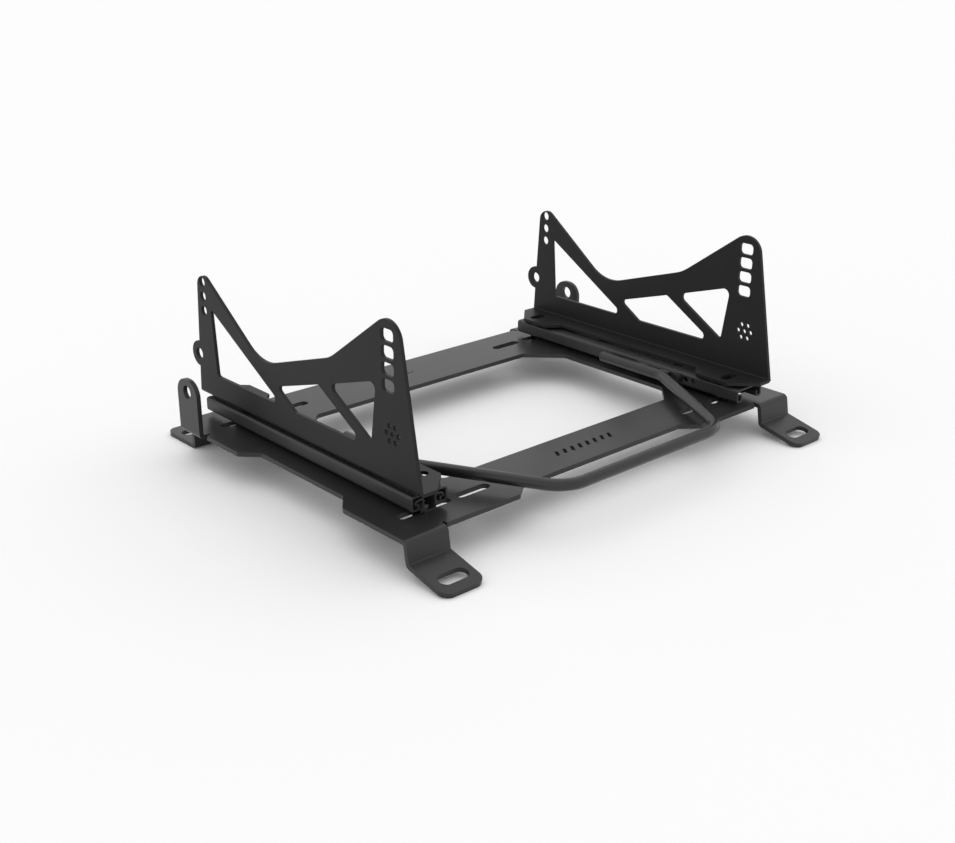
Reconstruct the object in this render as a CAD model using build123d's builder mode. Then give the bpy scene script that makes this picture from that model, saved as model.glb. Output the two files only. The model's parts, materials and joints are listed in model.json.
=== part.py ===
from build123d import *
import math
import os

# Seat base: a folded floor plate, two ball-bearing sliders, two side brackets and a release handle.
# X runs across the seat with the left side negative, Y runs from the front to the rear, Z runs up.
# The origin is on the floor under the middle of the footprint. All sizes are in millimetres.

# Folded sheet of the floor plate and of the side brackets
SHEET = 4.0
BRACKET_SHEET = 3.0
BEND_INNER = 1.0

# Floor plate: flat part
PLATE_TOP = 31.0
PLATE_FRONT = -158.0
PLATE_REAR = 150.3
PLATE_HALF_WIDTH = 228.0
PLATE_CORNER_RADIUS = 3.0
RECESS_HALF_WIDTH = 94.0
RECESS_DEPTH = 13.0
RECESS_SLOPE = 16.0
WAIST_HALF_WIDTH = 214.0
WAIST_FRONT = -68.0
WAIST_REAR = 46.4
WAIST_STEP_LENGTH = 18.0
OPENING_HALF_WIDTH = 157.0
OPENING_FRONT = -95.1
OPENING_REAR = 87.3
OPENING_FRONT_CHAMFER = 24.0
OPENING_REAR_CHAMFER = 30.0
OPENING_CORNER_RADIUS = 4.0

# Floor plate: slots that take the sliders at either of two widths
SLOT_WIDTH = 9.0
RAIL_SLOT_LENGTH = 52.0
SPARE_SLOT_LENGTH = 34.0
SPARE_SLOT_X = 132.8
RELIEF_WIDTH = 3.0
RELIEF_DEPTH = 4.0

# Floor plate: row of short slots in the front bar and two pips in the rear bar
GRILLE_SLOTS = 8
GRILLE_PITCH = 9.0
GRILLE_SLOT_LENGTH = 11.0
GRILLE_SLOT_WIDTH = 3.0
GRILLE_Y = -120.5
PIP_DIAMETER = 2.6
PIP_PITCH = 4.2
PIP_X = 5.8

# Floor plate: feet
FRONT_FOOT_WIDTH = 40.0
FRONT_FOOT_TOE = -206.0
FRONT_RISER_TOP = -162.6
FRONT_RISER_FOOT = -165.5
FRONT_FOOT_SLOPE = 13.0
FRONT_SLOT_Y = -190.8
REAR_FOOT_WIDTH = 38.0
REAR_RISER = 159.3
REAR_FOOT_END = 206.0
REAR_SLOT_Y = 187.0
FOOT_CORNER_RADIUS = 9.0
FOOT_SLOT_LENGTH = 27.0
FOOT_SLOT_WIDTH = 12.0
FRONT_SLOT_SHIFT = 0.5

# Floor plate: seat belt anchor tabs
TAB_FRONT = 112.0
TAB_WIDTH = 31.4
TAB_TOP = 78.6
TAB_CORNER_RADIUS = 14.0
TAB_HOLE_DIAMETER = 12.0
TAB_HOLE_DROP = 11.7

# Sliders: place and length
SLIDER_X = 182.5
RAIL_SHEET = 1.6
LOWER_FRONT = -135.0
LOWER_LENGTH = 262.0
UPPER_FRONT = -135.0
UPPER_LENGTH = 288.0
NOTCH_PITCH = 9.0
LEAD_NOTCHES = 2
TRAVEL_NOTCHES = 7

# Sliders: section
UPPER_WIDTH = 35.0
UPPER_HEIGHT = 16.5
RAIL_GROUND_GAP = 4.0
RAIL_BEND_OUTER = 2.4
HOOK_GAP = 20.4
HOOK_TOP = 9.8
CHANNEL_WIDTH = 13.2
SHOULDER_HEIGHT = 13.2
BALL_DIAMETER = 3.0
BALL_CLEARANCE = 0.05

# Sliders: bolts to the plate
BOLT_FRONT = -127.8
BOLT_REAR = 119.0
BOLT_DIAMETER = 6.0
BOLT_HEAD_DIAMETER = CHANNEL_WIDTH - 2 * RAIL_BEND_OUTER
BOLT_HEAD_HEIGHT = 3.0
BOLT_SOCKET = 4.0
BOLT_SOCKET_DEPTH = 1.8
BOLT_HOLE_CLEARANCE = 0.2
WASHER_DIAMETER = 18.0
WASHER_THICKNESS = 1.6
NUT_WIDTH = 10.0
NUT_HEIGHT = 5.0
BOLT_TAIL = 1.4
THREAD_GAP = 0.02

# Sliders: end stops, lanced down out of the upper rail's top
STOP_WIDTH = 8.0
STOP_GAP = 0.2
STOP_FLOOR_GAP = 1.4
LANCE_LENGTH = 12.0

# Sliders: holes in the upper rail's top
WEB_HOLE_DIAMETER = 8.7
TOOLING_HOLE_DIAMETER = 2.6
TOOLING_HOLES = ((3.3, 33.1), (9.0, -9.6))

# Ball cages
CAGE_THICKNESS = 0.9
CAGE_TOP_GAP = 0.5
CAGE_PAD_BOTTOM = 6.3
CAGE_BRIDGE_BOTTOM = 11.4
CAGE_END_GAP = 2.0
CAGE_FINGER_GAP = 0.5
BALL_PITCH = 6.0
BALL_END = 3.2
POCKET_CLEARANCE = 0.05

# Release handle
BAR_DIAMETER = 10.0
BAR_HEIGHT = 11.5
LEG_TO_RAIL = 9.0
LEG_REAR = 6.0
LEG_FRONT = -71.0
LEG_BEND_RADIUS = 22.0
CROSS_Y = -191.0
CROSS_HALF_LENGTH = 92.0
CROSS_BEND_RADIUS = 30.0
BAR_END_CHAMFER = 1.2

# Latch levers and their pivots
LEVER_SHEET = 2.3
LEVER_GAP = 0.05
PIVOT_Y = -84.0
PIVOT_DIAMETER = 5.0
PIVOT_CLEARANCE = 0.05
PIVOT_BOSS_RADIUS = 5.0
PIVOT_HEAD_DIAMETER = 8.4
PIVOT_HEAD_HEIGHT = 2.1
LEVER_REAR = -33.0
LEVER_HEIGHT = 8.4
FINGERS = 3
FINGER_Y = -46.0
FINGER_WIDTH = 4.6
FINGER_BOTTOM = 5.9
NOTCH_WIDTH = 5.8
NOTCH_DEPTH = 2.6
WINDOW_TOP = 11.6
WINDOW_GAP = 1.6
FINGER_PAST_LIP = 0.4
COMB_GAP = 0.6
PIVOT_COLLAR_DIAMETER = 8.0

# Side brackets
BRACKET_OFFSET = 17.0
BRACKET_BOTTOM = 50.0
BRACKET_FRONT = -145.5
BRACKET_REAR = 161.8
FRONT_PEAK = (-120.5, 191.8)
FRONT_PEAK_RADIUS = 16.0
SHOULDER_POINT = (-36.9, 132.4)
SHOULDER_RADIUS = 57.0
SADDLE_POINT = (61.6, 101.3)
SADDLE_RADIUS = 42.0
REAR_PEAK = (153.3, 168.7)
REAR_PEAK_RADIUS = 9.9
REAR_KNEE = (158.0, 105.0)
EAR_CENTRE = (159.6, 86.8)
EAR_RADIUS = 11.5
EAR_HOLE_DIAMETER = 10.5
SEAT_HOLE_DIAMETER = 8.7
SEAT_HOLE_Y = 146.5
SEAT_HOLE_TOP = 154.4
SEAT_HOLE_PITCH = 12.75
SEAT_HOLES = 3
SEAT_SLOT_Y = -109.6
SEAT_SLOT_TOP = 167.9
SEAT_SLOT_PITCH = 13.0
SEAT_SLOTS = 4
SEAT_SLOT_WIDTH = 14.6
SEAT_SLOT_HEIGHT = 10.2
SEAT_SLOT_RADIUS = 3.6
ROSETTE_CENTRE = (-113.3, 91.5)
ROSETTE_RADIUS = 6.9
ROSETTE_HOLE_DIAMETER = 4.4
ROSETTE_HOLES = 6
WINDOW_BASE = 72.4
REAR_WINDOW = ((135.7, 133.2), (131.6, WINDOW_BASE), (31.9, WINDOW_BASE))
MIDDLE_WINDOW = ((39.8, 87.9), (-20.4, 106.1), (-78.3, WINDOW_BASE), (14.5, WINDOW_BASE))
FRONT_WINDOW = ((-32.3, 109.6), (-94.9, 129.2), (-87.1, 77.4))
REAR_WINDOW_RADII = (2.0, 3.0, 4.0)
MIDDLE_WINDOW_RADII = (3.0, 2.5, 4.0, 4.0)
FRONT_WINDOW_RADII = (4.5, 5.5, 3.0)
FLANGE_WIDTH = 37.5
FLANGE_NARROW_WIDTH = 24.0
FLANGE_CORNER_WIDTH = 16.5
FLANGE_REAR_TAB = 52.4
FLANGE_FRONT_TAB = 57.0
FLANGE_CHAMFER = 21.0
FLANGE_SLOPE = 11.0
FLANGE_SLOT_OFFSET = 5.5
FLANGE_SLOT_LENGTH = 18.5
FLANGE_SLOT_REAR = 135.0
FLANGE_SLOT_FRONT = -115.0
PAD_OFFSET = 7.5
PAD_WIDTH = 10.0
PAD_LENGTH = 40.0
PAD_REAR_SHIFT = 10.0

# How close an edge lies to the place where it is looked for
NEAR = 0.01

# Values worked out from the ones above
bend_outer = BEND_INNER + SHEET
bracket_bend_outer = BEND_INNER + BRACKET_SHEET
plate_bottom = PLATE_TOP - SHEET
right_lead = LEAD_NOTCHES * NOTCH_PITCH
travel = TRAVEL_NOTCHES * NOTCH_PITCH
upper_rear = UPPER_FRONT + UPPER_LENGTH
lower_rear = LOWER_FRONT + LOWER_LENGTH
bracket_x = SLIDER_X + BRACKET_OFFSET
bracket_bolt_x = SLIDER_X - FLANGE_SLOT_OFFSET
rail_bend_inner = RAIL_BEND_OUTER - RAIL_SHEET
half_width = UPPER_WIDTH / 2
wall_inner = half_width - RAIL_SHEET
web_bottom = UPPER_HEIGHT - RAIL_SHEET
hook_floor = RAIL_GROUND_GAP + RAIL_SHEET
half_channel = CHANNEL_WIDTH / 2

# The ball rows: each ball lies in a corner of the upper rail with the clearance all round
ball_radius = BALL_DIAMETER / 2
ball_reach = ball_radius + BALL_CLEARANCE
ball_u = wall_inner - ball_reach
upper_ball_z = web_bottom - ball_reach
lower_ball_z = hook_floor + ball_reach

# The lower rail's shoulder bends round a centre set diagonally inwards from the upper ball
shoulder_step = (SHOULDER_HEIGHT - upper_ball_z + ball_reach) / (2 ** 0.5 - 1)
shoulder_radius = shoulder_step * 2 ** 0.5 - ball_reach
lip_outer = ball_u - shoulder_step + shoulder_radius
lip_inner = lip_outer - RAIL_SHEET
shoulder_under = SHOULDER_HEIGHT - RAIL_SHEET
lip_end = lower_ball_z + math.sqrt(ball_reach ** 2 - (ball_u - lip_outer) ** 2)

# Latch fingers, and the stretch of each cage that stays clear of them over the whole travel
finger_span = NOTCH_PITCH * (FINGERS - 1) + FINGER_WIDTH
finger_front = FINGER_Y - finger_span / 2
finger_rear = FINGER_Y + finger_span / 2
window_front = finger_front - WINDOW_GAP
window_rear = finger_rear + right_lead + WINDOW_GAP
cage_front = max(UPPER_FRONT, LOWER_FRONT) + travel / 2 + CAGE_END_GAP
cage_rear = min(upper_rear, lower_rear) - travel / 2 - CAGE_END_GAP
front_pad_end = finger_front - travel / 2 - CAGE_FINGER_GAP
rear_pad_start = finger_rear + right_lead + travel / 2 + CAGE_FINGER_GAP
ball_places = (
    front_pad_end - BALL_END - BALL_PITCH,
    front_pad_end - BALL_END,
    rear_pad_start + BALL_END,
    cage_rear - BALL_END,
)

# End stops meet the heads of the rail bolts at either end of the travel
stop_reach = BOLT_HEAD_DIAMETER / 2 + travel + STOP_GAP + RAIL_SHEET / 2
front_stop = BOLT_FRONT + stop_reach
rear_stop = BOLT_REAR - stop_reach

# Latch lever, between the handle's leg and the rail's inner wall
rail_side = SLIDER_X - half_width
leg_x = rail_side - LEG_TO_RAIL
lever_inner = leg_x + BAR_DIAMETER / 2 + LEVER_GAP
lever_outer = lever_inner + LEVER_SHEET
comb_root = rail_side - COMB_GAP
finger_tip = SLIDER_X - lip_inner + FINGER_PAST_LIP
pivot_z = PLATE_TOP + BAR_HEIGHT


def right_of(left_piece, lead=0.0):
    """The right-hand twin of a left-hand piece, moved towards the front by lead."""
    return left_piece.mirror(Plane.YZ).moved(Location((0, -lead, 0)))


def rail_plane(rear_end):
    """Section plane of the left slider at a rail's rear end: local X is across, local Y is up."""
    return Plane(origin=(-SLIDER_X, rear_end, PLATE_TOP), x_dir=(1, 0, 0), z_dir=(0, -1, 0))


def save(piece, name):
    """Label a finished piece and write it to its own file."""
    piece.label = name
    export_step(piece, f"parts/{name}.step")


os.makedirs("parts", exist_ok=True)

# Floor plate: outline of the right half of the flat part, from the middle of the front edge round
recess_edge = PLATE_FRONT + RECESS_DEPTH
half_outline = [
    ((0, recess_edge), 0),
    ((RECESS_HALF_WIDTH, recess_edge), PLATE_CORNER_RADIUS),
    ((RECESS_HALF_WIDTH + RECESS_SLOPE, PLATE_FRONT), PLATE_CORNER_RADIUS),
    ((PLATE_HALF_WIDTH, PLATE_FRONT), 0),
    ((PLATE_HALF_WIDTH, WAIST_FRONT - WAIST_STEP_LENGTH), PLATE_CORNER_RADIUS * 2),
    ((WAIST_HALF_WIDTH, WAIST_FRONT), PLATE_CORNER_RADIUS * 2),
    ((WAIST_HALF_WIDTH, WAIST_REAR), PLATE_CORNER_RADIUS),
    ((PLATE_HALF_WIDTH, WAIST_REAR + PLATE_HALF_WIDTH - WAIST_HALF_WIDTH), PLATE_CORNER_RADIUS),
    ((PLATE_HALF_WIDTH, PLATE_REAR - PLATE_CORNER_RADIUS), 0),
    ((WAIST_HALF_WIDTH, PLATE_REAR), 0),
    ((0, PLATE_REAR), 0),
]
half_opening = [
    ((0, OPENING_FRONT), 0),
    ((OPENING_HALF_WIDTH - OPENING_FRONT_CHAMFER, OPENING_FRONT), OPENING_CORNER_RADIUS),
    ((OPENING_HALF_WIDTH, OPENING_FRONT + OPENING_FRONT_CHAMFER), OPENING_CORNER_RADIUS),
    ((OPENING_HALF_WIDTH, OPENING_REAR - OPENING_REAR_CHAMFER), OPENING_CORNER_RADIUS),
    ((OPENING_HALF_WIDTH - OPENING_REAR_CHAMFER, OPENING_REAR), OPENING_CORNER_RADIUS),
    ((0, OPENING_REAR), 0),
]

# Front foot: the top face's line, sloping down to a toe that touches the floor
front_slope = math.radians(FRONT_FOOT_SLOPE)
toe_top = SHEET * math.cos(front_slope)
fold_height = toe_top + math.tan(front_slope) * (FRONT_RISER_FOOT - FRONT_FOOT_TOE)
front_foot_line = [
    (PLATE_FRONT + bend_outer, PLATE_TOP),
    (FRONT_RISER_TOP, PLATE_TOP),
    (FRONT_RISER_FOOT, fold_height),
    (FRONT_FOOT_TOE, toe_top),
]
rear_foot_line = [
    (PLATE_REAR - bend_outer, PLATE_TOP),
    (REAR_RISER, PLATE_TOP),
    (REAR_RISER, SHEET),
    (REAR_FOOT_END, SHEET),
]
front_foot_x = PLATE_HALF_WIDTH - FRONT_FOOT_WIDTH / 2
rear_foot_x = WAIST_HALF_WIDTH - REAR_FOOT_WIDTH / 2
front_slot_z = toe_top + math.tan(front_slope) * (FRONT_SLOT_Y - FRONT_FOOT_TOE)
tab_outer = PLATE_HALF_WIDTH + bend_outer
tab_middle = TAB_FRONT + TAB_WIDTH / 2
relief_places = [
    (front_foot_x - FRONT_FOOT_WIDTH / 2 - RELIEF_WIDTH / 2, PLATE_FRONT, RELIEF_WIDTH, 2 * RELIEF_DEPTH),
    (rear_foot_x - REAR_FOOT_WIDTH / 2 - RELIEF_WIDTH / 2, PLATE_REAR, RELIEF_WIDTH, 2 * RELIEF_DEPTH),
    (PLATE_HALF_WIDTH, TAB_FRONT - RELIEF_WIDTH / 2, 2 * RELIEF_DEPTH, RELIEF_WIDTH),
    (PLATE_HALF_WIDTH, TAB_FRONT + TAB_WIDTH + RELIEF_WIDTH / 2, 2 * RELIEF_DEPTH, RELIEF_WIDTH),
]

with BuildPart() as base_plate:
    with BuildSketch(Plane.XY.offset(plate_bottom)):
        with BuildLine():
            FilletPolyline(*[point for point, _ in half_outline],
                           radius=[radius for _, radius in half_outline], close=True)
        make_face()
        with BuildLine():
            FilletPolyline(*[point for point, _ in half_opening],
                           radius=[radius for _, radius in half_opening], close=True)
        make_face(mode=Mode.SUBTRACT)
        for x, y, width, depth in relief_places:
            with Locations((x, y)):
                Rectangle(width, depth, mode=Mode.SUBTRACT)
        with Locations((SLIDER_X, BOLT_FRONT), (SLIDER_X, BOLT_REAR)):
            SlotOverall(RAIL_SLOT_LENGTH, SLOT_WIDTH, mode=Mode.SUBTRACT)
        with Locations((SPARE_SLOT_X, BOLT_FRONT), (SPARE_SLOT_X, BOLT_REAR)):
            SlotOverall(SPARE_SLOT_LENGTH, SLOT_WIDTH, mode=Mode.SUBTRACT)
        mirror(about=Plane.YZ)
        with Locations((0, GRILLE_Y)):
            with GridLocations(GRILLE_PITCH, 0, GRILLE_SLOTS, 1):
                SlotOverall(GRILLE_SLOT_LENGTH, GRILLE_SLOT_WIDTH, rotation=60, mode=Mode.SUBTRACT)
        with Locations((PIP_X, BOLT_REAR)):
            with GridLocations(PIP_PITCH, 0, 2, 1):
                Circle(PIP_DIAMETER / 2, mode=Mode.SUBTRACT)
    extrude(amount=SHEET)

    # Front and rear feet, folded down from the plate's edges
    for side in (-1, 1):
        with BuildSketch(Plane.YZ.offset(side * front_foot_x)):
            with BuildLine():
                FilletPolyline(*front_foot_line, radius=[bend_outer, BEND_INNER])
                offset(amount=SHEET, side=Side.LEFT)
            make_face()
        extrude(amount=FRONT_FOOT_WIDTH / 2, both=True)
        with BuildSketch(Plane.YZ.offset(side * rear_foot_x)):
            with BuildLine():
                FilletPolyline(*rear_foot_line, radius=[bend_outer, BEND_INNER])
                offset(amount=SHEET, side=Side.RIGHT)
            make_face()
        extrude(amount=REAR_FOOT_WIDTH / 2, both=True)

    # Belt anchor tabs, folded up from the plate's sides
    for side in (-1, 1):
        with BuildSketch(Plane.XZ.offset(-tab_middle)):
            with BuildLine():
                FilletPolyline(
                    (side * (PLATE_HALF_WIDTH - bend_outer), plate_bottom),
                    (side * tab_outer, plate_bottom),
                    (side * tab_outer, TAB_TOP),
                    radius=bend_outer,
                )
                offset(amount=SHEET, side=Side.LEFT if side > 0 else Side.RIGHT)
            make_face()
        extrude(amount=TAB_WIDTH / 2, both=True)
    cross_edges = base_plate.edges().filter_by(Axis.X)
    tab_corners = cross_edges.filter_by_position(Axis.Z, TAB_TOP - NEAR, TAB_TOP + NEAR)
    fillet(tab_corners, TAB_CORNER_RADIUS)

    # Rounded corners of the feet
    low_edges = base_plate.edges().filter_by(lambda e: e.center().Z < SHEET)
    toe_corners = low_edges.filter_by(lambda e: abs(e.length - SHEET) < NEAR)
    fillet(toe_corners, FOOT_CORNER_RADIUS)

    # Slots for the floor bolts, and the belt anchor holes
    for side in (-1, 1):
        foot_top = Plane(
            origin=(side * (front_foot_x - FRONT_SLOT_SHIFT), FRONT_SLOT_Y, front_slot_z),
            x_dir=(1, 0, 0),
            z_dir=(0, -math.sin(front_slope), math.cos(front_slope)),
        )
        with BuildSketch(foot_top):
            SlotOverall(FOOT_SLOT_LENGTH, FOOT_SLOT_WIDTH)
        extrude(amount=SHEET * 1.5, both=True, mode=Mode.SUBTRACT)
        with BuildSketch(Plane.XY):
            with Locations((side * rear_foot_x, REAR_SLOT_Y)):
                SlotOverall(FOOT_SLOT_LENGTH, FOOT_SLOT_WIDTH)
        extrude(amount=SHEET, mode=Mode.SUBTRACT)
        with BuildSketch(Plane.YZ.offset(side * (tab_outer - SHEET / 2))):
            with Locations((tab_middle, TAB_TOP - TAB_HOLE_DROP)):
                Circle(TAB_HOLE_DIAMETER / 2)
        extrude(amount=SHEET, both=True, mode=Mode.SUBTRACT)
save(base_plate.part, "base_plate")

# Lower rails: a channel with outward shoulders and down-turned lips, the inner lip notched for the latch
with BuildPart() as left_lower_rail:
    with BuildSketch(rail_plane(lower_rear)):
        with BuildLine():
            FilletPolyline(
                (-lip_inner, lip_end),
                (-lip_inner, shoulder_under),
                (-half_channel, shoulder_under),
                (-half_channel, 0),
                (half_channel, 0),
                (half_channel, shoulder_under),
                (lip_inner, shoulder_under),
                (lip_inner, lip_end),
                radius=[
                    shoulder_radius - RAIL_SHEET,
                    rail_bend_inner,
                    RAIL_BEND_OUTER,
                    RAIL_BEND_OUTER,
                    rail_bend_inner,
                    shoulder_radius - RAIL_SHEET,
                ],
            )
            offset(amount=RAIL_SHEET, side=Side.LEFT)
        make_face()
    extrude(amount=LOWER_LENGTH)
    lip_middle = -SLIDER_X + (lip_inner + lip_outer) / 2
    with Locations((lip_middle, FINGER_Y, PLATE_TOP + lip_end)):
        with GridLocations(0, NOTCH_PITCH, 1, 2 * TRAVEL_NOTCHES + FINGERS):
            Box(2 * RAIL_SHEET, NOTCH_WIDTH, 2 * NOTCH_DEPTH, mode=Mode.SUBTRACT)
    with Locations((-SLIDER_X, BOLT_FRONT, PLATE_TOP), (-SLIDER_X, BOLT_REAR, PLATE_TOP)):
        Cylinder(BOLT_DIAMETER / 2 + BOLT_HOLE_CLEARANCE, 4 * RAIL_SHEET, mode=Mode.SUBTRACT)
save(left_lower_rail.part, "left_lower_rail")

with BuildPart() as right_lower_rail:
    add(right_of(left_lower_rail.part))
save(right_lower_rail.part, "right_lower_rail")

# Upper rails: a cap whose walls hook in under the lower rail's lips
with BuildPart() as left_upper_rail:
    with BuildSketch(rail_plane(upper_rear)):
        with BuildLine():
            FilletPolyline(
                (-HOOK_GAP / 2, HOOK_TOP),
                (-HOOK_GAP / 2, RAIL_GROUND_GAP),
                (-half_width, RAIL_GROUND_GAP),
                (-half_width, UPPER_HEIGHT),
                (half_width, UPPER_HEIGHT),
                (half_width, RAIL_GROUND_GAP),
                (HOOK_GAP / 2, RAIL_GROUND_GAP),
                (HOOK_GAP / 2, HOOK_TOP),
                radius=RAIL_BEND_OUTER,
            )
            offset(amount=RAIL_SHEET, side=Side.RIGHT)
        make_face()
    extrude(amount=UPPER_LENGTH)

    # Window in the inner wall for the latch fingers
    window_depth = (RAIL_SHEET + RAIL_BEND_OUTER) * 2
    window_y = (window_front + window_rear) / 2
    window_z = PLATE_TOP + (hook_floor + WINDOW_TOP) / 2
    with Locations((-rail_side, window_y, window_z)):
        Box(window_depth, window_rear - window_front, WINDOW_TOP - hook_floor, mode=Mode.SUBTRACT)

    # Row of pivot holes, one notch apart, so that one rail suits both sides
    with BuildSketch(Plane.YZ.offset(-rail_side)):
        for step in range(LEAD_NOTCHES + 1):
            with Locations((PIVOT_Y + step * NOTCH_PITCH, pivot_z)):
                Circle(PIVOT_DIAMETER / 2)
    extrude(amount=-2 * RAIL_SHEET, mode=Mode.SUBTRACT)

    # End stops bent down into the lower rail's channel, and the openings that they leave
    stop_height = web_bottom - RAIL_SHEET - STOP_FLOOR_GAP
    for place, back in ((front_stop, 1), (rear_stop, -1)):
        lance_y = place + back * (LANCE_LENGTH + RAIL_SHEET) / 2
        with Locations((-SLIDER_X, lance_y, PLATE_TOP + UPPER_HEIGHT)):
            Box(STOP_WIDTH, LANCE_LENGTH, 4 * RAIL_SHEET, mode=Mode.SUBTRACT)
        with Locations((-SLIDER_X, place, PLATE_TOP + web_bottom)):
            Box(STOP_WIDTH, RAIL_SHEET, stop_height, align=(Align.CENTER, Align.CENTER, Align.MAX))

    # Threaded holes for the bracket bolts and two tooling holes in the top
    with BuildSketch(Plane.XY.offset(PLATE_TOP + UPPER_HEIGHT)):
        with Locations((-bracket_bolt_x, FLANGE_SLOT_FRONT), (-bracket_bolt_x, FLANGE_SLOT_REAR)):
            Circle(WEB_HOLE_DIAMETER / 2)
        with Locations(*[(-SLIDER_X + across, along) for across, along in TOOLING_HOLES]):
            Circle(TOOLING_HOLE_DIAMETER / 2)
    extrude(amount=-2 * RAIL_SHEET, mode=Mode.SUBTRACT)
save(left_upper_rail.part, "left_upper_rail")

with BuildPart() as right_upper_rail:
    add(right_of(left_upper_rail.part, right_lead))
save(right_upper_rail.part, "right_upper_rail")

# Ball cages: a strip with open pockets, cut back to a bridge where the latch fingers pass
cage_u = (lip_outer + wall_inner) / 2
cage_top = web_bottom - CAGE_TOP_GAP
cage_outline = [
    (cage_front, CAGE_PAD_BOTTOM),
    (front_pad_end, CAGE_PAD_BOTTOM),
    (front_pad_end, CAGE_BRIDGE_BOTTOM),
    (rear_pad_start, CAGE_BRIDGE_BOTTOM),
    (rear_pad_start, CAGE_PAD_BOTTOM),
    (cage_rear, CAGE_PAD_BOTTOM),
    (cage_rear, cage_top),
    (cage_front, cage_top),
]
cages = {}
for name, across in (("inner", cage_u), ("outer", -cage_u)):
    with BuildPart() as cage:
        with BuildSketch(Plane.YZ.offset(-SLIDER_X + across)):
            with BuildLine():
                Polyline(*[(along, PLATE_TOP + up) for along, up in cage_outline], close=True)
            make_face()
            for along in ball_places:
                with Locations((along, PLATE_TOP + upper_ball_z), (along, PLATE_TOP + lower_ball_z)):
                    Circle(ball_radius + POCKET_CLEARANCE, mode=Mode.SUBTRACT)
        extrude(amount=CAGE_THICKNESS / 2, both=True)
    cages[name] = cage.part
    save(cage.part, f"left_{name}_ball_cage")

for name, left_cage in cages.items():
    with BuildPart() as right_cage:
        add(right_of(left_cage, right_lead / 2))
    save(right_cage.part, f"right_{name}_ball_cage")

# Balls: an upper and a lower row on each side of each slider
with BuildPart() as left_balls:
    for across in (-ball_u, ball_u):
        for up in (upper_ball_z, lower_ball_z):
            with Locations(*[(-SLIDER_X + across, along, PLATE_TOP + up) for along in ball_places]):
                Sphere(ball_radius)
save(left_balls.part, "left_balls")

with BuildPart() as right_balls:
    add(right_of(left_balls.part, right_lead / 2))
save(right_balls.part, "right_balls")

# Rail bolts: low heads in the lower rails' channels, with washers and nuts under the plate
bolt_places = [(side * SLIDER_X, along) for side in (-1, 1) for along in (BOLT_FRONT, BOLT_REAR)]
head_seat = PLATE_TOP + RAIL_SHEET
nut_top = plate_bottom - WASHER_THICKNESS
bolt_length = head_seat - nut_top + NUT_HEIGHT + BOLT_TAIL

with BuildPart() as rail_bolts:
    with BuildSketch(Plane.XY.offset(head_seat)):
        with Locations(*bolt_places):
            Circle(BOLT_HEAD_DIAMETER / 2)
    extrude(amount=BOLT_HEAD_HEIGHT)
    with BuildSketch(Plane.XY.offset(head_seat)):
        with Locations(*bolt_places):
            Circle(BOLT_DIAMETER / 2)
    extrude(amount=-bolt_length)
    with BuildSketch(Plane.XY.offset(head_seat + BOLT_HEAD_HEIGHT)):
        with Locations(*bolt_places):
            RegularPolygon(BOLT_SOCKET / 2, 6, major_radius=False)
    extrude(amount=-BOLT_SOCKET_DEPTH, mode=Mode.SUBTRACT)
save(rail_bolts.part, "rail_bolts")

with BuildPart() as rail_washers:
    with BuildSketch(Plane.XY.offset(nut_top)):
        with Locations(*bolt_places):
            Circle(WASHER_DIAMETER / 2)
            Circle(BOLT_DIAMETER / 2 + BOLT_HOLE_CLEARANCE, mode=Mode.SUBTRACT)
    extrude(amount=WASHER_THICKNESS)
save(rail_washers.part, "rail_washers")

with BuildPart() as rail_nuts:
    with BuildSketch(Plane.XY.offset(nut_top)):
        with Locations(*bolt_places):
            RegularPolygon(NUT_WIDTH / 2, 6, major_radius=False)
            Circle(BOLT_DIAMETER / 2 + THREAD_GAP, mode=Mode.SUBTRACT)
    extrude(amount=-NUT_HEIGHT)
save(rail_nuts.part, "rail_nuts")

# Release handle: one bent round bar, its legs beside the inner walls of the upper rails
leg_end = (-leg_x, LEG_REAR, pivot_z)
with BuildPart() as release_handle:
    with BuildLine():
        FilletPolyline(
            leg_end,
            (-leg_x, LEG_FRONT, pivot_z),
            (-CROSS_HALF_LENGTH, CROSS_Y, pivot_z),
            (CROSS_HALF_LENGTH, CROSS_Y, pivot_z),
            (leg_x, LEG_FRONT, pivot_z),
            (leg_x, LEG_REAR, pivot_z),
            radius=[LEG_BEND_RADIUS, CROSS_BEND_RADIUS, CROSS_BEND_RADIUS, LEG_BEND_RADIUS],
        )
    with BuildSketch(Plane(origin=leg_end, x_dir=(1, 0, 0), z_dir=(0, -1, 0))):
        Circle(BAR_DIAMETER / 2)
    sweep()
    bar_ends = release_handle.faces().filter_by(Axis.Y).edges()
    chamfer(bar_ends, BAR_END_CHAMFER)
save(release_handle.part, "release_handle")

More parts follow.
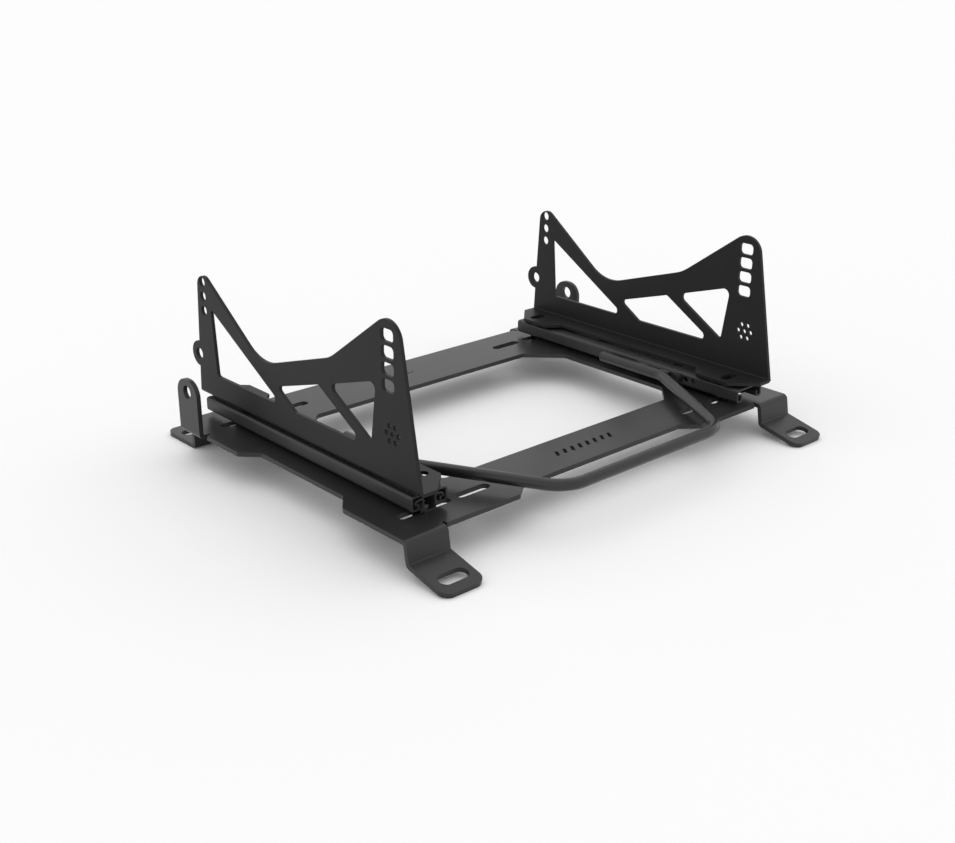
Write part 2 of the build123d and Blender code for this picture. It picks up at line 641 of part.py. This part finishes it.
# Latch levers: a stamping welded to each leg, with fingers that enter the lower rail's notches
finger_bottom = PLATE_TOP + FINGER_BOTTOM
lever_bottom = pivot_z - LEVER_HEIGHT / 2
with BuildPart() as left_latch_lever:
    with BuildSketch(Plane.YZ.offset(-lever_outer)):
        with Locations((PIVOT_Y, pivot_z)):
            Circle(PIVOT_BOSS_RADIUS)
        with Locations((PIVOT_Y, lever_bottom)):
            Rectangle(LEVER_REAR - PIVOT_Y, LEVER_HEIGHT, align=(Align.MIN, Align.MIN))
        with Locations((finger_front, finger_bottom)):
            Rectangle(finger_span, lever_bottom - finger_bottom, align=(Align.MIN, Align.MIN))
        with Locations((PIVOT_Y, pivot_z)):
            Circle(PIVOT_DIAMETER / 2 + PIVOT_CLEARANCE, mode=Mode.SUBTRACT)
    extrude(amount=LEVER_SHEET)
    with BuildSketch(Plane.XY.offset(finger_bottom)):
        with Locations((-lever_inner, FINGER_Y)):
            Rectangle(comb_root - lever_inner, finger_span, align=(Align.MAX, Align.CENTER))
            with GridLocations(0, NOTCH_PITCH, 1, FINGERS):
                Rectangle(finger_tip - lever_inner, FINGER_WIDTH, align=(Align.MAX, Align.CENTER))
    extrude(amount=LEVER_SHEET)
save(left_latch_lever.part, "left_latch_lever")

with BuildPart() as right_latch_lever:
    add(right_of(left_latch_lever.part))
save(right_latch_lever.part, "right_latch_lever")

# Pivot pins: headed, with a collar that keeps the lever off the rail, riveted flush inside the wall
pin_head_face = lever_inner - PIVOT_CLEARANCE
with BuildPart() as left_pivot_pin:
    with BuildSketch(Plane.YZ.offset(-pin_head_face)):
        with Locations((PIVOT_Y, pivot_z)):
            Circle(PIVOT_HEAD_DIAMETER / 2)
    extrude(amount=PIVOT_HEAD_HEIGHT)
    with BuildSketch(Plane.YZ.offset(-pin_head_face)):
        with Locations((PIVOT_Y, pivot_z)):
            Circle(PIVOT_DIAMETER / 2)
    extrude(amount=-(SLIDER_X - wall_inner - pin_head_face))
    with BuildSketch(Plane.YZ.offset(-rail_side)):
        with Locations((PIVOT_Y, pivot_z)):
            Circle(PIVOT_COLLAR_DIAMETER / 2)
    extrude(amount=rail_side - lever_outer - PIVOT_CLEARANCE)
save(left_pivot_pin.part, "left_pivot_pin")

with BuildPart() as right_pivot_pin:
    add(right_of(left_pivot_pin.part))
save(right_pivot_pin.part, "right_pivot_pin")

# Side brackets: a pierced wall with a flange folded in over the upper rail
bracket_outline = [
    ((BRACKET_FRONT, BRACKET_BOTTOM), 0),
    (FRONT_PEAK, FRONT_PEAK_RADIUS),
    (SHOULDER_POINT, SHOULDER_RADIUS),
    (SADDLE_POINT, SADDLE_RADIUS),
    (REAR_PEAK, REAR_PEAK_RADIUS),
    (REAR_KNEE, 0),
    ((BRACKET_REAR, BRACKET_BOTTOM), 0),
]
windows = [
    (REAR_WINDOW, REAR_WINDOW_RADII),
    (MIDDLE_WINDOW, MIDDLE_WINDOW_RADII),
    (FRONT_WINDOW, FRONT_WINDOW_RADII),
]
flange_rear_edge = BRACKET_REAR - FLANGE_CHAMFER
flange_front_edge = BRACKET_FRONT + FLANGE_CHAMFER
flange_outline = [
    (0, BRACKET_REAR),
    (FLANGE_CORNER_WIDTH, BRACKET_REAR),
    (FLANGE_WIDTH, flange_rear_edge),
    (FLANGE_WIDTH, BRACKET_REAR - FLANGE_REAR_TAB),
    (FLANGE_NARROW_WIDTH, BRACKET_REAR - FLANGE_REAR_TAB - FLANGE_SLOPE),
    (FLANGE_NARROW_WIDTH, BRACKET_FRONT + FLANGE_FRONT_TAB + FLANGE_SLOPE),
    (FLANGE_WIDTH, BRACKET_FRONT + FLANGE_FRONT_TAB),
    (FLANGE_WIDTH, flange_front_edge),
    (FLANGE_CORNER_WIDTH, BRACKET_FRONT),
    (0, BRACKET_FRONT),
]
with BuildPart() as left_bracket:
    with BuildSketch(Plane.YZ.offset(-bracket_x)):
        with BuildLine():
            FilletPolyline(*[point for point, _ in bracket_outline],
                           radius=[radius for _, radius in bracket_outline], close=True)
        make_face()
        with Locations(EAR_CENTRE):
            Circle(EAR_RADIUS)
        for corners, radii in windows:
            with BuildLine():
                FilletPolyline(*corners, radius=radii, close=True)
            make_face(mode=Mode.SUBTRACT)
        with Locations(EAR_CENTRE):
            Circle(EAR_HOLE_DIAMETER / 2, mode=Mode.SUBTRACT)
        for row in range(SEAT_HOLES):
            with Locations((SEAT_HOLE_Y, SEAT_HOLE_TOP - row * SEAT_HOLE_PITCH)):
                Circle(SEAT_HOLE_DIAMETER / 2, mode=Mode.SUBTRACT)
        for row in range(SEAT_SLOTS):
            with Locations((SEAT_SLOT_Y, SEAT_SLOT_TOP - row * SEAT_SLOT_PITCH)):
                RectangleRounded(SEAT_SLOT_WIDTH, SEAT_SLOT_HEIGHT, SEAT_SLOT_RADIUS, mode=Mode.SUBTRACT)
        with Locations(ROSETTE_CENTRE):
            Circle(ROSETTE_HOLE_DIAMETER / 2, mode=Mode.SUBTRACT)
            with PolarLocations(ROSETTE_RADIUS, ROSETTE_HOLES):
                Circle(ROSETTE_HOLE_DIAMETER / 2, mode=Mode.SUBTRACT)
    extrude(amount=BRACKET_SHEET)
    with BuildSketch(Plane.XY.offset(BRACKET_BOTTOM)):
        with BuildLine():
            Polyline(*[(across - bracket_x, along) for across, along in flange_outline], close=True)
        make_face()
        with Locations((-bracket_bolt_x, FLANGE_SLOT_FRONT), (-bracket_bolt_x, FLANGE_SLOT_REAR)):
            SlotOverall(FLANGE_SLOT_LENGTH, SEAT_HOLE_DIAMETER, mode=Mode.SUBTRACT)
    extrude(amount=BRACKET_SHEET)

    # The fold between the wall and the flange
    flange_top = BRACKET_BOTTOM + BRACKET_SHEET
    wall_face = bracket_x - BRACKET_SHEET
    for fold_x, fold_z, radius in ((wall_face, flange_top, BEND_INNER),
                                   (bracket_x, BRACKET_BOTTOM, bracket_bend_outer)):
        long_edges = left_bracket.edges().filter_by(Axis.Y)
        fold = long_edges.filter_by(
            lambda e: math.hypot(e.center().X + fold_x, e.center().Z - fold_z) < NEAR)
        fillet(fold, radius)
save(left_bracket.part, "left_bracket")

with BuildPart() as right_bracket:
    add(right_of(left_bracket.part, right_lead))
save(right_bracket.part, "right_bracket")

# Spacer pads, welded between each upper rail and its bracket's flange beside the bolt slots
with BuildPart() as left_spacer_pads:
    with BuildSketch(Plane.XY.offset(PLATE_TOP + UPPER_HEIGHT)):
        with Locations((-SLIDER_X - PAD_OFFSET, FLANGE_SLOT_FRONT),
                       (-SLIDER_X - PAD_OFFSET, FLANGE_SLOT_REAR - PAD_REAR_SHIFT)):
            Rectangle(PAD_WIDTH, PAD_LENGTH)
    extrude(amount=BRACKET_BOTTOM - PLATE_TOP - UPPER_HEIGHT)
save(left_spacer_pads.part, "left_spacer_pads")

with BuildPart() as right_spacer_pads:
    add(right_of(left_spacer_pads.part, right_lead))
save(right_spacer_pads.part, "right_spacer_pads")
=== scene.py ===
import json
import math

import bmesh
import bpy
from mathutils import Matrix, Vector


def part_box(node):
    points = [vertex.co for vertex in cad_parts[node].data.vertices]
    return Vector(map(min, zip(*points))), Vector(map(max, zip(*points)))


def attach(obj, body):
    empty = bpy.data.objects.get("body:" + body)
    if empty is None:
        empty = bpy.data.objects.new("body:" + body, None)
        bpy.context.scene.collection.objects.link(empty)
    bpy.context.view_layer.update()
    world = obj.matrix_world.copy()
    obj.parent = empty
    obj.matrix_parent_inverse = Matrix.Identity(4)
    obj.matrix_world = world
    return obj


# Seat base: black powder-coated steel on a plain white floor, under soft studio light.
# Lengths are in metres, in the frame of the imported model: X across, Y to the rear, Z up.

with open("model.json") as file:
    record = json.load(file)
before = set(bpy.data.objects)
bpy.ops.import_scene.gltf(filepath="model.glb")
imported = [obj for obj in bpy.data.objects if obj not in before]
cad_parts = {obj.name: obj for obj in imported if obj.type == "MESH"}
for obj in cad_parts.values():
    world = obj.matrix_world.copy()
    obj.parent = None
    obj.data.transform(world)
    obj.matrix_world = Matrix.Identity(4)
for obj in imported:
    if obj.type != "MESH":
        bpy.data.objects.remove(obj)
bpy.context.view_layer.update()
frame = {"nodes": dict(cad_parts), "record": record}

# Camera, at the photograph's place and angle (degrees), with its lens and sensor in millimetres
CAMERA_PLACE = (-0.7677, -0.8415, 0.4661)
CAMERA_TILT = 68.449
CAMERA_TURN = -41.886
CAMERA_LENS = 50.58
SENSOR_WIDTH = 36.0

# Studio. The sky's and the lamp's light add up to about 1 on a level floor.
FLOOR_SIZE = 40.0
BACKDROP_WHITE = 0.985
FLOOR_BOUNCE = 0.85
SKY_LIGHT = 0.92
LAMP_LIGHT = 0.08
LAMP_SPREAD = 60.0
LAMP_FROM = (0.35, 0.45, 2.2)

# Weld stitches that hold the latch levers to the handle's legs. Their places are from
# the bar's middle line and from the lever's two ends.
BAR_RADIUS = 0.005
WELD_RADIUS = 0.0015
WELD_ACROSS = 0.0041
WELD_RISE = 0.0030
WELD_LENGTH = 0.011
WELD_SIDES = 18
WELD_END_POWER = 8
FRONT_WELD = 0.0125
REAR_WELD = 0.0170
RIPPLES = 10
RIPPLE_RINGS = 6
RIPPLE_DEPTH = 0.14
JOIN_DISTANCE = 1e-6

# Scale of the finishes' detail: how many features fit in a metre
PEEL_SCALE = 620.0
GRAIN_SCALE = 3200.0
NYLON_GRAIN_SCALE = 1600.0
CLOUD_SCALE = 14.0
RAIL_CLOUD_SCALE = 28.0
MOTTLE_SCALE = 240.0
HAZE_SCALE = 500.0
FLOW_SCALE = 60.0
DRAWN_SCALE = (900.0, 12.0, 900.0)

# Height of that detail, and the radius of the parts' edges
GRAIN_HEIGHT = 0.00001
STREAK_HEIGHT = 0.00002
PEEL_HEIGHT = 0.00004
EDGE_RADIUS = 0.0005
PLATED_EDGE_RADIUS = 0.0003
NYLON_EDGE_RADIUS = 0.0002
EDGE_SAMPLES = 6

NOISE_MIDDLE = 0.5


class Value:
    """A shader socket that can be used in an expression."""

    def __init__(self, finish, socket):
        self.finish = finish
        self.socket = socket

    def __add__(self, other):
        return self.finish.math("ADD", self, other)

    def __radd__(self, other):
        return self.finish.math("ADD", other, self)

    def __sub__(self, other):
        return self.finish.math("SUBTRACT", self, other)

    def __rsub__(self, other):
        return self.finish.math("SUBTRACT", other, self)

    def __mul__(self, other):
        return self.finish.math("MULTIPLY", self, other)

    def __rmul__(self, other):
        return self.finish.math("MULTIPLY", other, self)


class Finish:
    """The node tree of one material or of the world."""

    def __init__(self, tree):
        self.tree = tree
        self.tree.nodes.clear()

    def node(self, kind, settings, inputs, output=0):
        """Adds a node: its settings are set first, then its sockets' values or links."""
        node = self.tree.nodes.new("ShaderNode" + kind)
        for name, value in settings.items():
            if name == "stops":
                for element, (place, level) in zip(node.color_ramp.elements, value):
                    element.position = place
                    element.color = shade(level)
            else:
                setattr(node, name, value)
        for name, value in inputs.items():
            if isinstance(value, Value):
                self.tree.links.new(value.socket, node.inputs[name])
            else:
                node.inputs[name].default_value = value
        return Value(self, node.outputs[output]) if node.outputs else node

    def math(self, operation, first, second):
        """A Math node on two values."""
        return self.node("Math", {"operation": operation}, {0: first, 1: second})

    def mix(self, factor, first, second):
        """A blend of two colours."""
        return self.node("Mix", {"data_type": "RGBA"}, {0: factor, 6: first, 7: second}, 2)

    def place(self):
        """Place on the piece itself, in metres, whatever the pose."""
        return self.node("TexCoord", {}, {}, "Object")

    def noise(self, scale, detail, vector=None, roughness=0.5):
        """Soft random variation from 0 to 1 around its middle."""
        inputs = {"Scale": scale, "Detail": detail, "Roughness": roughness}
        inputs["Vector"] = vector or self.place()
        return self.node("TexNoise", {}, inputs)

    def stretch(self, value, low, high):
        """A ramp that takes low to 0 and high to 1."""
        return self.node("ValToRGB", {"stops": ((low, 0.0), (high, 1.0))}, {0: value})

    def vary(self, level, noise, amount):
        """A level that a noise raises and lowers."""
        return level + (noise - NOISE_MIDDLE) * amount

    def shades(self, tone, level, darker, lighter, tint):
        """A colour between a darker and a lighter shade of a level."""
        return self.mix(tone, shade(level * darker), shade(level * lighter, tint))

    def rounded(self, radius):
        """A normal that rounds the piece's sharp edges."""
        return self.node("Bevel", {"samples": EDGE_SAMPLES}, {"Radius": radius})

    def bump(self, height, distance, strength, normal):
        """A normal raised by a height."""
        inputs = {"Height": height, "Distance": distance, "Strength": strength, "Normal": normal}
        return self.node("Bump", {}, inputs)

    def surface(self, inputs):
        """The Principled shader, joined to the output."""
        shader = self.node("BsdfPrincipled", {}, inputs)
        self.node("OutputMaterial", {}, {"Surface": shader})

    def seen(self):
        """1 where it is seen straight, in a gloss or through glass, and 0 where it only lights."""
        straight = self.node("LightPath", {}, {}, "Is Camera Ray")
        glossy = self.node("LightPath", {}, {}, "Is Glossy Ray")
        through = self.node("LightPath", {}, {}, "Is Transmission Ray")
        return self.math("MINIMUM", straight + glossy + through, 1.0)


def new_finish(name):
    """A fresh material and its finish."""
    material = bpy.data.materials.new(name)
    material.use_nodes = True
    return material, Finish(material.node_tree)


def shade(level, tint=1.0):
    """A near-grey colour, with tint on its blue."""
    return (level, level, level * tint, 1)


def powder_coat(name, level, roughness, sheen):
    """Satin black powder coat: fine orange peel, faint clouds, rounded edges."""
    material, finish = new_finish(name)
    clouds = finish.noise(CLOUD_SCALE, detail=3.0)
    grain = finish.noise(GRAIN_SCALE, detail=2.0)
    peel = finish.noise(PEEL_SCALE, detail=2.0)
    tone = finish.stretch(clouds * 0.7 + grain * 0.3, low=0.25, high=0.75)
    gloss = finish.vary(roughness, clouds, amount=0.10)
    normal = finish.rounded(EDGE_RADIUS)
    normal = finish.bump(grain, GRAIN_HEIGHT, strength=0.35, normal=normal)
    finish.surface({
        "Base Color": finish.shades(tone, level, darker=0.86, lighter=1.16, tint=1.02),
        "Roughness": finish.vary(gloss, grain, amount=0.08),
        "Normal": finish.bump(peel, PEEL_HEIGHT, strength=0.45, normal=normal),
        "Specular IOR Level": sheen,
    })
    return material


def drawn_coat(name, level, roughness, sheen=0.42):
    """Thin black coat over rolled steel, with faint streaks along the rolling direction."""
    material, finish = new_finish(name)
    scaling = {"Vector": finish.place(), "Scale": DRAWN_SCALE}
    drawn = finish.node("Mapping", {"vector_type": "POINT"}, scaling)
    streaks = finish.noise(1.0, detail=3.0, vector=drawn)
    clouds = finish.noise(RAIL_CLOUD_SCALE, detail=3.0)
    grain = finish.noise(GRAIN_SCALE, detail=2.0)
    tone = finish.stretch(streaks * 0.5 + clouds * 0.5, low=0.3, high=0.7)
    gloss = finish.vary(roughness, streaks, amount=0.16)
    normal = finish.rounded(EDGE_RADIUS)
    normal = finish.bump(streaks, STREAK_HEIGHT, strength=0.3, normal=normal)
    finish.surface({
        "Base Color": finish.shades(tone, level, darker=0.85, lighter=1.2, tint=1.03),
        "Roughness": finish.vary(gloss, clouds, amount=0.06),
        "Normal": finish.bump(grain, GRAIN_HEIGHT, strength=0.25, normal=normal),
        "Specular IOR Level": sheen,
    })
    return material


def plated_steel(name, level, roughness):
    """Zinc plating on steel, slightly mottled."""
    material, finish = new_finish(name)
    mottle = finish.noise(MOTTLE_SCALE, detail=4.0, roughness=0.65)
    grain = finish.noise(GRAIN_SCALE, detail=2.0)
    tone = finish.stretch(mottle, low=0.3, high=0.7)
    normal = finish.rounded(PLATED_EDGE_RADIUS)
    finish.surface({
        "Base Color": finish.shades(tone, level, darker=0.8, lighter=1.15, tint=1.04),
        "Metallic": 0.85,
        "Roughness": finish.vary(roughness, mottle, amount=0.2),
        "Normal": finish.bump(grain, GRAIN_HEIGHT, strength=0.3, normal=normal),
    })
    return material


def bearing_steel(name, level, roughness):
    """Polished balls, with a slight haze."""
    material, finish = new_finish(name)
    haze = finish.noise(HAZE_SCALE, detail=3.0)
    finish.surface({
        "Base Color": shade(level, tint=1.02),
        "Metallic": 1.0,
        "Roughness": roughness + haze * 0.08,
    })
    return material


def moulded_nylon(name, dark, light, roughness):
    """Dark nylon of the ball cages, with the marks of its flow."""
    material, finish = new_finish(name)
    flow = finish.noise(FLOW_SCALE, detail=3.0)
    grain = finish.noise(NYLON_GRAIN_SCALE, detail=2.0)
    normal = finish.rounded(NYLON_EDGE_RADIUS)
    finish.surface({
        "Base Color": finish.mix(flow, shade(dark), shade(light, tint=1.04)),
        "Roughness": finish.vary(roughness, flow, amount=0.1),
        "Normal": finish.bump(grain, GRAIN_HEIGHT, strength=0.4, normal=normal),
    })
    return material


# Finishes, by material slot
plate_coat = powder_coat("powder_coat", level=0.026, roughness=0.31, sheen=0.31)
# The brackets get a darker, less glossy copy of the plate's powder coat: its darker colour is
# painted shade on the brackets' faces.
bracket_coat = powder_coat("bracket_coat_painted_shade", level=0.018, roughness=0.42, sheen=0.15)
handle_coat = powder_coat("handle_powder_coat", level=0.014, roughness=0.28, sheen=0.50)
finishes = {
    "plate_coat": plate_coat,
    "bracket_coat": bracket_coat,
    "pad_coat": plate_coat,
    "handle_coat": handle_coat,
    "rail_coat": drawn_coat("rail_coat", level=0.024, roughness=0.42),
    "lever_steel": drawn_coat("lever_coat", level=0.022, roughness=0.50),
    "pin_steel": drawn_coat("pin_coat", level=0.022, roughness=0.45),
    "fastener_zinc": plated_steel("dark_zinc", level=0.20, roughness=0.36),
    "cage_plastic": moulded_nylon("dark_nylon", dark=0.024, light=0.038, roughness=0.45),
    "ball_steel": bearing_steel("bearing_steel", level=0.62, roughness=0.10),
}
slot_of = {part["node"]: part["material_slot"] for part in frame["record"]["subparts"]}
for node_name, piece in frame["nodes"].items():
    for place in piece.material_slots:
        place.material = finishes[slot_of[node_name]]


def stitch(mesh, across, start, up):
    """One weld stitch along Y: a rippled bead with rounded ends and crescents that lean back."""
    rings = RIPPLES * RIPPLE_RINGS
    rows = []
    for ring in range(rings + 1):
        along = ring / rings
        fullness = math.sqrt(1 - (2 * along - 1) ** WELD_END_POWER)
        dip = RIPPLE_DEPTH * (ring % RIPPLE_RINGS) / RIPPLE_RINGS
        radius = WELD_RADIUS * fullness * (1 - dip)
        row = []
        for corner in range(WELD_SIDES):
            turn = 2 * math.pi * corner / WELD_SIDES
            lean = WELD_LENGTH / RIPPLES * math.cos(turn) ** 2 * fullness
            x = across + radius * math.cos(turn)
            y = start + along * WELD_LENGTH - lean
            z = up + radius * math.sin(turn)
            row.append(mesh.verts.new((x, y, z)))
        rows.append(row)
    for lower, upper in zip(rows, rows[1:]):
        for corner in range(WELD_SIDES):
            after = (corner + 1) % WELD_SIDES
            mesh.faces.new((lower[corner], lower[after], upper[after], upper[corner]))


def lever_welds(side, sign):
    """The stitches that join a latch lever to its leg of the handle, above and below."""
    handle_low, handle_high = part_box("release_handle")
    lever_low, lever_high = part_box(f"{side}_latch_lever")
    across = sign * (handle_high.x - BAR_RADIUS + WELD_ACROSS)
    middle = (handle_low.z + handle_high.z) / 2
    mesh = bmesh.new()
    for start in (lever_low.y + FRONT_WELD, lever_high.y - REAR_WELD):
        for rise in (WELD_RISE, -WELD_RISE):
            stitch(mesh, across, start, middle + rise)
    bmesh.ops.remove_doubles(mesh, verts=mesh.verts, dist=JOIN_DISTANCE)
    bmesh.ops.recalc_face_normals(mesh, faces=mesh.faces)
    for face in mesh.faces:
        face.smooth = True
    data = bpy.data.meshes.new(f"{side}_lever_welds")
    mesh.to_mesh(data)
    mesh.free()
    data.materials.append(handle_coat)
    piece = bpy.data.objects.new(data.name, data)
    bpy.context.collection.objects.link(piece)
    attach(piece, "release")


lever_welds("left", -1)
lever_welds("right", 1)

# Floor: white where it is seen, and it keeps the object's shadow
bpy.ops.mesh.primitive_plane_add(size=FLOOR_SIZE)
floor = bpy.context.object
floor.name = "floor"
material, finish = new_finish("studio_floor")
paint = finish.mix(finish.seen(), shade(FLOOR_BOUNCE), shade(BACKDROP_WHITE))
matte = finish.node("BsdfDiffuse", {}, {"Color": paint})
finish.node("OutputMaterial", {}, {"Surface": matte})
floor.data.materials.append(material)

# Sky: even soft light, white where it is seen
world = bpy.data.worlds.new("studio")
bpy.context.scene.world = world
world.use_nodes = True
finish = Finish(world.node_tree)
strength = SKY_LIGHT + finish.seen() * (BACKDROP_WHITE - SKY_LIGHT)
sky = finish.node("Background", {}, {"Color": shade(1.0), "Strength": strength})
finish.node("OutputWorld", {}, {"Surface": sky})

# Lamp: wide, soft and far overhead, so that it lights the whole floor evenly
lamp_data = bpy.data.lights.new("softbox", "SUN")
lamp_data.angle = math.radians(LAMP_SPREAD)
lamp_data.energy = LAMP_LIGHT * math.pi
lamp = bpy.data.objects.new("softbox", lamp_data)
lamp_x, lamp_y, lamp_z = LAMP_FROM
lamp.rotation_euler = (math.atan2(-lamp_y, lamp_z), math.atan2(lamp_x, lamp_z), 0)
bpy.context.collection.objects.link(lamp)

# Camera
camera_data = bpy.data.cameras.new("camera")
camera_data.sensor_fit = "HORIZONTAL"
camera_data.sensor_width = SENSOR_WIDTH
camera_data.lens = CAMERA_LENS
camera = bpy.data.objects.new("camera", camera_data)
camera.location = CAMERA_PLACE
camera.rotation_euler = (math.radians(CAMERA_TILT), 0, math.radians(CAMERA_TURN))
bpy.context.collection.objects.link(camera)
bpy.context.scene.camera = camera
bpy.context.scene.view_settings.view_transform = "Standard"
